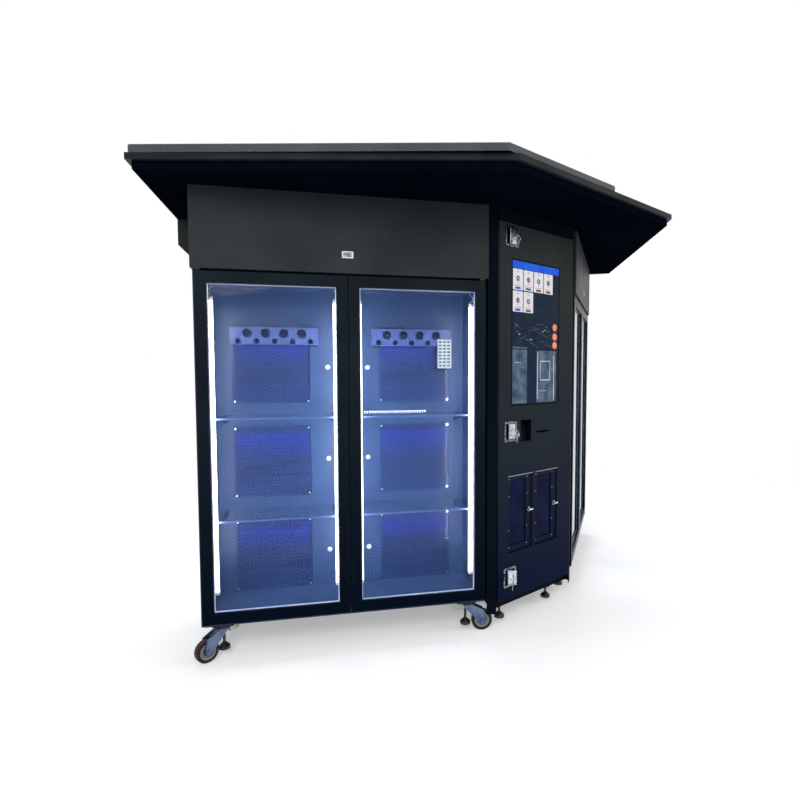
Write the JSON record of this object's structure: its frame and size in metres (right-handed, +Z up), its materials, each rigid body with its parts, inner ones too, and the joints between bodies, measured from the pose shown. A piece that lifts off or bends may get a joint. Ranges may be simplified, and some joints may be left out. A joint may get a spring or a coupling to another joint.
{
  "type": "flower vending machine",
  "caption": "Walk-up refrigerated flower vending machine: glazed display wings turned back either side of a touch-screen column, under one wide canopy, on levelling casters.",
  "frame": {"origin": "on the floor, under the middle of the canopy's outline", "axes": "+Z up; +X to the right of someone facing the service column; the column faces -Y"},
  "size_m": [3.3524, 1.6492, 2.084],
  "materials": {
    "satin_black": "satin black powder coat",
    "gloss_black": "mirror-glossy black",
    "frame_black": "glossy black anodised",
    "white_liner": "smooth white",
    "pane": "clear",
    "shelf_glass": "clear, green edge",
    "clear_cover": "clear, lit from behind",
    "tube_white": "opal, lit",
    "brushed": "brushed",
    "zinc": "blue-grey zinc",
    "chrome": "polished",
    "tyre": "dark maroon",
    "screen": "glass-fronted display",
    "dark_plastic": "matt",
    "white_plastic": "moulded",
    "window": "smoky clear"
  },
  "bodies": {
    "cabinet": {"back_windows": "clear_cover", "canopy_cap": "satin_black", "canopy_trays": "satin_black", "caster_mounts": "zinc", "centre_casing": "satin_black", "centre_feet": "zinc", "centre_frame": "satin_black", "control_box": "satin_black", "door_hinges": "brushed", "duct_covers": "white_liner", "headers": "satin_black", "left_casing": "satin_black", "left_liner": "white_liner", "light_tubes": "tube_white", "mullions": "frame_black", "rear_gussets": "satin_black", "right_casing": "satin_black", "right_liner": "white_liner", "shelf_arms": "brushed", "shelves": "shelf_glass", "soffits": "gloss_black", "thermometers": "white_plastic"},
    "left_inner_door": {"left_inner_door_frame": "frame_black", "left_inner_door_glass": "pane"},
    "left_inner_caster": {"left_inner_caster_fork": "zinc"},
    "left_inner_wheel": {"left_inner_caster_wheel": "tyre"},
    "left_inner_foot": {"left_inner_caster_foot": "zinc"},
    "left_inner_back_wheel": {"left_inner_rear_wheel": "tyre"},
    "left_outer_door": {"left_outer_door_frame": "frame_black", "left_outer_door_glass": "pane"},
    "left_outer_caster": {"left_outer_caster_fork": "zinc"},
    "left_outer_wheel": {"left_outer_caster_wheel": "tyre"},
    "left_outer_foot": {"left_outer_caster_foot": "zinc"},
    "left_outer_back_wheel": {"left_outer_rear_wheel": "tyre"},
    "right_inner_door": {"right_inner_door_frame": "frame_black", "right_inner_door_glass": "pane"},
    "right_inner_caster": {"right_inner_caster_fork": "zinc"},
    "right_inner_wheel": {"right_inner_caster_wheel": "tyre"},
    "right_inner_foot": {"right_inner_caster_foot": "zinc"},
    "right_inner_back_wheel": {"right_inner_rear_wheel": "tyre"},
    "right_outer_door": {"right_outer_door_frame": "frame_black", "right_outer_door_glass": "pane"},
    "right_outer_caster": {"right_outer_caster_fork": "zinc"},
    "right_outer_wheel": {"right_outer_caster_wheel": "tyre"},
    "right_outer_foot": {"right_outer_caster_foot": "zinc"},
    "right_outer_back_wheel": {"right_outer_rear_wheel": "tyre"},
    "service_door": {"service_door": "satin_black", "touch_screen": "screen", "card_reader": "dark_plastic", "lock_bases": "chrome", "pickup_bins": "satin_black"},
    "left_hatch": {"left_hatch": "satin_black", "left_hatch_window": "window"},
    "left_hatch_knob": {"left_hatch_knob": "chrome"},
    "right_hatch": {"right_hatch": "satin_black", "right_hatch_window": "window"},
    "right_hatch_knob": {"right_hatch_knob": "chrome"},
    "top_lock_paddle": {"top_lock_paddle": "chrome"},
    "middle_lock_paddle": {"middle_lock_paddle": "chrome"},
    "bottom_lock_paddle": {"bottom_lock_paddle": "chrome"}
  },
  "joints": [
    {"name": "left_inner_door_hinge", "type": "hinge", "parent": "cabinet", "child": "left_inner_door", "pos_m": [-0.35909, -0.39798, 0.172], "axis": [0, 0, 1], "range_deg": [0, 95]},
    {"name": "left_inner_caster_swivel", "type": "hinge", "parent": "cabinet", "child": "left_inner_caster", "pos_m": [-0.37432, -0.30836, 0.05], "axis": [0, 0, 1], "continuous": true},
    {"name": "left_inner_wheel_spin", "type": "hinge", "parent": "left_inner_caster", "child": "left_inner_wheel", "pos_m": [-0.30959, -0.35539, 0.05], "axis": [-0.5878, -0.809, 0], "continuous": true},
    {"name": "left_inner_foot_screw", "type": "slide", "parent": "cabinet", "child": "left_inner_foot", "axis": [0, 0, -1], "range_m": [0, 0.032]},
    {"name": "left_inner_back_wheel_spin", "type": "hinge", "parent": "cabinet", "child": "left_inner_back_wheel", "pos_m": [-0.15432, 0.07269, 0.05], "axis": [-0.5, -0.866, 0], "continuous": true},
    {"name": "left_outer_door_hinge", "type": "hinge", "parent": "cabinet", "child": "left_outer_door", "pos_m": [-1.40871, 0.20802, 0.172], "axis": [0, 0, -1], "range_deg": [0, 95]},
    {"name": "left_outer_caster_swivel", "type": "hinge", "parent": "cabinet", "child": "left_outer_caster", "pos_m": [-1.32348, 0.23964, 0.05], "axis": [0, 0, 1], "continuous": true},
    {"name": "left_outer_wheel_spin", "type": "hinge", "parent": "left_outer_caster", "child": "left_outer_wheel", "pos_m": [-1.40304, 0.23128, 0.05], "axis": [0.1045, -0.9945, 0], "continuous": true},
    {"name": "left_outer_foot_screw", "type": "slide", "parent": "cabinet", "child": "left_outer_foot", "axis": [0, 0, -1], "range_m": [0, 0.032]},
    {"name": "left_outer_back_wheel_spin", "type": "hinge", "parent": "cabinet", "child": "left_outer_back_wheel", "pos_m": [-1.10348, 0.62069, 0.05], "axis": [-0.5, -0.866, 0], "continuous": true},
    {"name": "right_inner_door_hinge", "type": "hinge", "parent": "cabinet", "child": "right_inner_door", "pos_m": [0.35909, -0.39798, 0.172], "axis": [0, 0, -1], "range_deg": [0, 95]},
    {"name": "right_inner_caster_swivel", "type": "hinge", "parent": "cabinet", "child": "right_inner_caster", "pos_m": [0.37432, -0.30836, 0.05], "axis": [0, 0, 1], "continuous": true},
    {"name": "right_inner_wheel_spin", "type": "hinge", "parent": "right_inner_caster", "child": "right_inner_wheel", "pos_m": [0.34695, -0.23319, 0.05], "axis": [-0.9397, -0.342, 0], "continuous": true},
    {"name": "right_inner_foot_screw", "type": "slide", "parent": "cabinet", "child": "right_inner_foot", "axis": [0, 0, -1], "range_m": [0, 0.032]},
    {"name": "right_inner_back_wheel_spin", "type": "hinge", "parent": "cabinet", "child": "right_inner_back_wheel", "pos_m": [0.15432, 0.07269, 0.05], "axis": [0.5, -0.866, 0], "continuous": true},
    {"name": "right_outer_door_hinge", "type": "hinge", "parent": "cabinet", "child": "right_outer_door", "pos_m": [1.40871, 0.20802, 0.172], "axis": [0, 0, 1], "range_deg": [0, 95]},
    {"name": "right_outer_caster_swivel", "type": "hinge", "parent": "cabinet", "child": "right_outer_caster", "pos_m": [1.32348, 0.23964, 0.05], "axis": [0, 0, 1], "continuous": true},
    {"name": "right_outer_wheel_spin", "type": "hinge", "parent": "right_outer_caster", "child": "right_outer_wheel", "pos_m": [1.39956, 0.26436, 0.05], "axis": [0.309, -0.9511, 0], "continuous": true},
    {"name": "right_outer_foot_screw", "type": "slide", "parent": "cabinet", "child": "right_outer_foot", "axis": [0, 0, -1], "range_m": [0, 0.032]},
    {"name": "right_outer_back_wheel_spin", "type": "hinge", "parent": "cabinet", "child": "right_outer_back_wheel", "pos_m": [1.10348, 0.62069, 0.05], "axis": [0.5, -0.866, 0], "continuous": true},
    {"name": "service_door_hinge", "type": "hinge", "parent": "cabinet", "child": "service_door", "pos_m": [0.274, -0.43565, 0.148], "axis": [0, 0, 1], "range_deg": [0, 90]},
    {"name": "left_hatch_hinge", "type": "hinge", "parent": "service_door", "child": "left_hatch", "pos_m": [-0.2145, -0.43165, 0.37], "axis": [0, 0, -1], "range_deg": [0, 95]},
    {"name": "left_hatch_knob_turn", "type": "hinge", "parent": "left_hatch", "child": "left_hatch_knob", "pos_m": [-0.056, -0.43565, 0.562], "axis": [0, 1, 0], "range_deg": [0, 90]},
    {"name": "right_hatch_hinge", "type": "hinge", "parent": "service_door", "child": "right_hatch", "pos_m": [-0.0085, -0.43165, 0.37], "axis": [0, 0, -1], "range_deg": [0, 95]},
    {"name": "right_hatch_knob_turn", "type": "hinge", "parent": "right_hatch", "child": "right_hatch_knob", "pos_m": [0.15, -0.43565, 0.562], "axis": [0, 1, 0], "range_deg": [0, 90]},
    {"name": "top_lock_paddle_turn", "type": "hinge", "parent": "service_door", "child": "top_lock_paddle", "pos_m": [-0.215, -0.44365, 1.88], "axis": [0, 0, -1], "range_deg": [0, 75]},
    {"name": "middle_lock_paddle_turn", "type": "hinge", "parent": "service_door", "child": "middle_lock_paddle", "pos_m": [-0.215, -0.44365, 0.962], "axis": [0, 0, -1], "range_deg": [0, 75]},
    {"name": "bottom_lock_paddle_turn", "type": "hinge", "parent": "service_door", "child": "bottom_lock_paddle", "pos_m": [-0.215, -0.44365, 0.255], "axis": [0, 0, -1], "range_deg": [-52, 23]}
  ]
}
